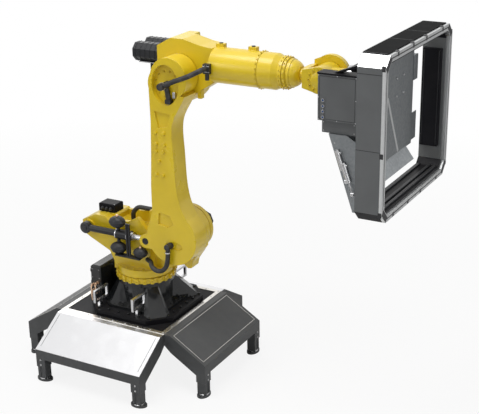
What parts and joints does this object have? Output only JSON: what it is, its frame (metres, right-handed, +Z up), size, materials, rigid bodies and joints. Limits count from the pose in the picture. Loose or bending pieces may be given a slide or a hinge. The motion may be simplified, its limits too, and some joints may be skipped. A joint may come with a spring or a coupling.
{
  "type": "industrial robot arm with frame gripper on a bolted platform",
  "caption": "Six-axis floor-mounted robot arm with a counterbalance cylinder and a large frame gripper, on a square platform with four sloped wings and adjustable legs.",
  "frame": {"origin": "on the floor, under the middle of the platform", "axes": "+X forward along the arm, +Y to the arm's left, +Z up"},
  "size_m": [3.076, 1.572, 2.766],
  "materials": {
    "yellow_paint": "satin",
    "black_casting": "gloss",
    "black_plate": "satin",
    "grey_frame": "satin",
    "bright_strip": "satin",
    "wing_sheet": "satin",
    "rim_profile": "satin",
    "galvanised": "satin",
    "grey_box": "satin",
    "steel": "satin",
    "black_rubber": "matte"
  },
  "bodies": {
    "platform": {"deck": "black_plate", "deck_strips": "bright_strip", "wing_frame_front": "grey_frame", "wing_frame_right": "grey_frame", "wing_frame_back": "grey_frame", "wing_frame_left": "grey_frame", "wing_panel_front": "wing_sheet", "wing_panel_right": "grey_frame", "wing_panel_back": "wing_sheet", "wing_panel_left": "grey_frame", "feet_front": "grey_frame", "feet_right": "grey_frame", "feet_back": "grey_frame", "feet_left": "grey_frame", "base_footplate": "black_plate", "base_casting": "black_casting", "base_connections": "black_casting", "bearing_ring": "yellow_paint", "fork_rings_near": "steel", "fork_rings_far": "steel"},
    "column": {"column_casting": "yellow_paint", "axis2_gear": "yellow_paint", "axis2_motor": "black_plate", "junction_box": "black_plate", "rear_pivot": "yellow_paint", "hose_trough": "black_rubber"},
    "counterbalance": {"balance_cylinder": "yellow_paint", "balance_rod": "steel", "balance_accumulators": "black_plate", "balance_pipes": "black_plate"},
    "link": {"link_arm": "yellow_paint", "hose_riser": "black_rubber", "hose_foot": "black_rubber"},
    "forearm": {"forearm_housing": "yellow_paint", "forearm_tube": "yellow_paint", "forearm_motors": "black_plate", "motor_plate": "steel", "forearm_connector": "grey_box", "hose_elbow": "black_rubber"},
    "wrist_roll": {"wrist_roll": "yellow_paint"},
    "wrist_pitch": {"wrist_pitch": "yellow_paint"},
    "gripper": {"tool_flange": "steel", "gripper_side_near": "grey_box", "gripper_side_far": "grey_box", "gripper_beam_top": "black_plate", "gripper_beam_bottom": "black_plate", "gripper_rim": "rim_profile", "gripper_top_panels": "black_plate", "gripper_pad": "black_plate", "gripper_plate": "galvanised", "gripper_adapter": "black_plate", "control_box": "grey_box", "control_lid": "black_plate", "control_arms": "black_plate", "gripper_chute": "galvanised"}
  },
  "joints": [
    {"name": "axis_1", "type": "hinge", "parent": "platform", "child": "column", "pos_m": [0.05, 0, 0.745], "axis": [0, 0, 1], "range_deg": [-185, 185]},
    {"name": "axis_2", "type": "hinge", "parent": "column", "child": "link", "pos_m": [0.445, -0.1, 1.145], "axis": [0, 1, 0], "range_deg": [-50, 85], "deforming": ["hose_foot"]},
    {"name": "counterbalance_pivot", "type": "hinge", "parent": "column", "child": "counterbalance", "pos_m": [-0.362, -0.19, 1.08], "axis": [0, -1, 0], "range_deg": [-11, 19]},
    {"name": "axis_3", "type": "hinge", "parent": "link", "child": "forearm", "pos_m": [0.442, -0.1, 2.31], "axis": [0, -1, 0], "range_deg": [-65, 210]},
    {"name": "axis_4", "type": "hinge", "parent": "forearm", "child": "wrist_roll", "pos_m": [1.3, 0, 2.44], "axis": [1, 0, 0], "range_deg": [-350, 350]},
    {"name": "axis_5", "type": "hinge", "parent": "wrist_roll", "child": "wrist_pitch", "pos_m": [1.58, 0, 2.44], "axis": [0, 1, 0], "range_deg": [-105, 105]},
    {"name": "axis_6", "type": "hinge", "parent": "wrist_pitch", "child": "gripper", "pos_m": [1.76, 0, 2.44], "axis": [1, 0, 0], "range_deg": [-350, 350]}
  ],
  "couplings": [
    {"joint": "counterbalance_pivot", "follows": "axis_2", "ratio": 0.215}
  ]
}
